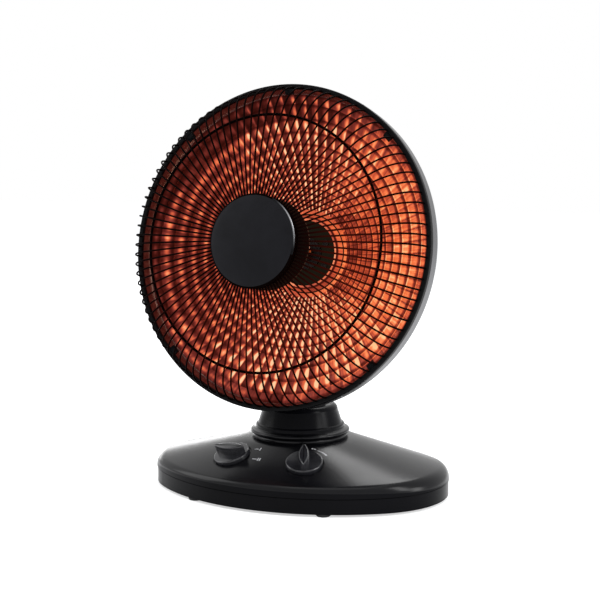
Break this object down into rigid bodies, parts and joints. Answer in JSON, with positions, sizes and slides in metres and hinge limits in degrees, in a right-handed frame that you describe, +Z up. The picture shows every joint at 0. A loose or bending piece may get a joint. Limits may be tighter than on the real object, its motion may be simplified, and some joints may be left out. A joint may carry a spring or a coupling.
{
  "type": "parabolic heater",
  "caption": "Free-standing parabolic dish heater with a domed wire guard, a tilting and swinging bright bowl with a glowing coil, and a low oval black base with knobs.",
  "frame": {"origin": "on the floor under the middle of the oval base, below the neck's axis", "axes": "+Z up, -Y towards the person the dish faces, +X to the right of somebody who looks from behind it along -Y"},
  "size_m": [0.362, 0.255, 0.4607],
  "materials": {
    "base_black": "satin black moulding",
    "knob_black": "smooth black moulding",
    "inner_black": "matte black moulding",
    "wire_black": "black enamel on steel wire",
    "rim_black": "black enamel on rolled steel",
    "cap_black": "matte black heat-proof paint",
    "shell_silver": "satin spun aluminium",
    "reflector_bright": "bright dimpled aluminium",
    "hub_bright": "polished",
    "steel_plain": "zinc-plated",
    "cast_weight": "dark rough casting",
    "ceramic_cream": "unglazed ceramic",
    "coil_glow": "resistance wire, glowing orange",
    "brass_plain": "machined brass",
    "rubber_black": "soft black rubber",
    "bearing_white": "smooth low-friction moulding",
    "switch_grey": "plain grey moulding",
    "lead_sleeve": "woven glass sleeve",
    "plunger_red": "smooth red moulding"
  },
  "bodies": {
    "base": {"base_pan": "base_black", "base_cover": "base_black", "rubber_feet": "rubber_black", "ballast_plate": "cast_weight", "neck_collar": "base_black", "swivel_bearing": "bearing_white", "thrust_washer": "steel_plain", "swing_motor": "steel_plain", "motor_bracket": "steel_plain", "selector_switch": "switch_grey", "thermostat": "ceramic_cream", "tip_switch": "inner_black", "tip_bracket": "steel_plain", "cord_gland": "rubber_black", "base_screws": "steel_plain"},
    "crank": {"motor_shaft": "steel_plain", "crank_disc": "steel_plain", "crank_roller": "bearing_white"},
    "selector": {"selector_knob": "knob_black", "selector_shaft": "brass_plain"},
    "thermostat_dial": {"thermostat_knob": "knob_black", "thermostat_shaft": "brass_plain"},
    "plunger": {"tip_plunger": "plunger_red"},
    "neck": {"neck_cup": "base_black", "spindle": "steel_plain", "retaining_ring": "steel_plain", "swing_arm": "steel_plain", "tilt_bracket": "inner_black", "tilt_bolt": "steel_plain", "tilt_nut": "steel_plain", "neck_screws": "steel_plain"},
    "head": {"head_arm": "inner_black", "arm_cover": "inner_black", "friction_washers": "rubber_black", "back_shell": "shell_silver", "reflector": "reflector_bright", "hub_ring": "hub_bright", "hub_spacer": "steel_plain", "hub_screws": "steel_plain", "shell_screws": "steel_plain", "rim_ring": "rim_black", "rim_clips": "rim_black", "guard_wires": "wire_black", "guard_ring": "wire_black", "guard_cap": "cap_black", "element_shield": "cap_black", "element_former": "ceramic_cream", "heater_coil": "coil_glow", "coil_terminals": "brass_plain", "element_stem": "steel_plain", "element_nuts": "steel_plain", "rear_housing": "inner_black", "housing_screws": "steel_plain", "terminal_block": "ceramic_cream", "thermal_cutout": "steel_plain", "head_leads": "lead_sleeve"}
  },
  "joints": [
    {"name": "neck_swing", "type": "hinge", "parent": "base", "child": "neck", "pos_m": [0, 0, 0.066], "axis": [0, 0, 1], "range_deg": [-30, 30]},
    {"name": "crank_turn", "type": "hinge", "parent": "base", "child": "crank", "pos_m": [0, 0.038, 0.034], "axis": [0, 0, 1], "range_deg": [-90, 90]},
    {"name": "head_tilt", "type": "hinge", "parent": "neck", "child": "head", "pos_m": [0, 0.015, 0.1145], "axis": [1, 0, 0], "range_deg": [-10, 15]},
    {"name": "selector_turn", "type": "hinge", "parent": "base", "child": "selector", "pos_m": [-0.04495, -0.07968, 0.04847], "axis": [-0.1269, -0.3584, 0.9249], "range_deg": [-30, 60]},
    {"name": "thermostat_turn", "type": "hinge", "parent": "base", "child": "thermostat_dial", "pos_m": [0.04495, -0.07968, 0.04847], "axis": [0.1269, -0.3584, 0.9249], "range_deg": [-270, 0]},
    {"name": "plunger_drop", "type": "slide", "parent": "base", "child": "plunger", "axis": [0, 0, -1], "range_m": [0, 0.004], "stiffness_N_per_m": 150, "springref_m": 0.006}
  ],
  "couplings": [
    {"joint": "crank_turn", "follows": "neck_swing", "ratio": 3}
  ]
}
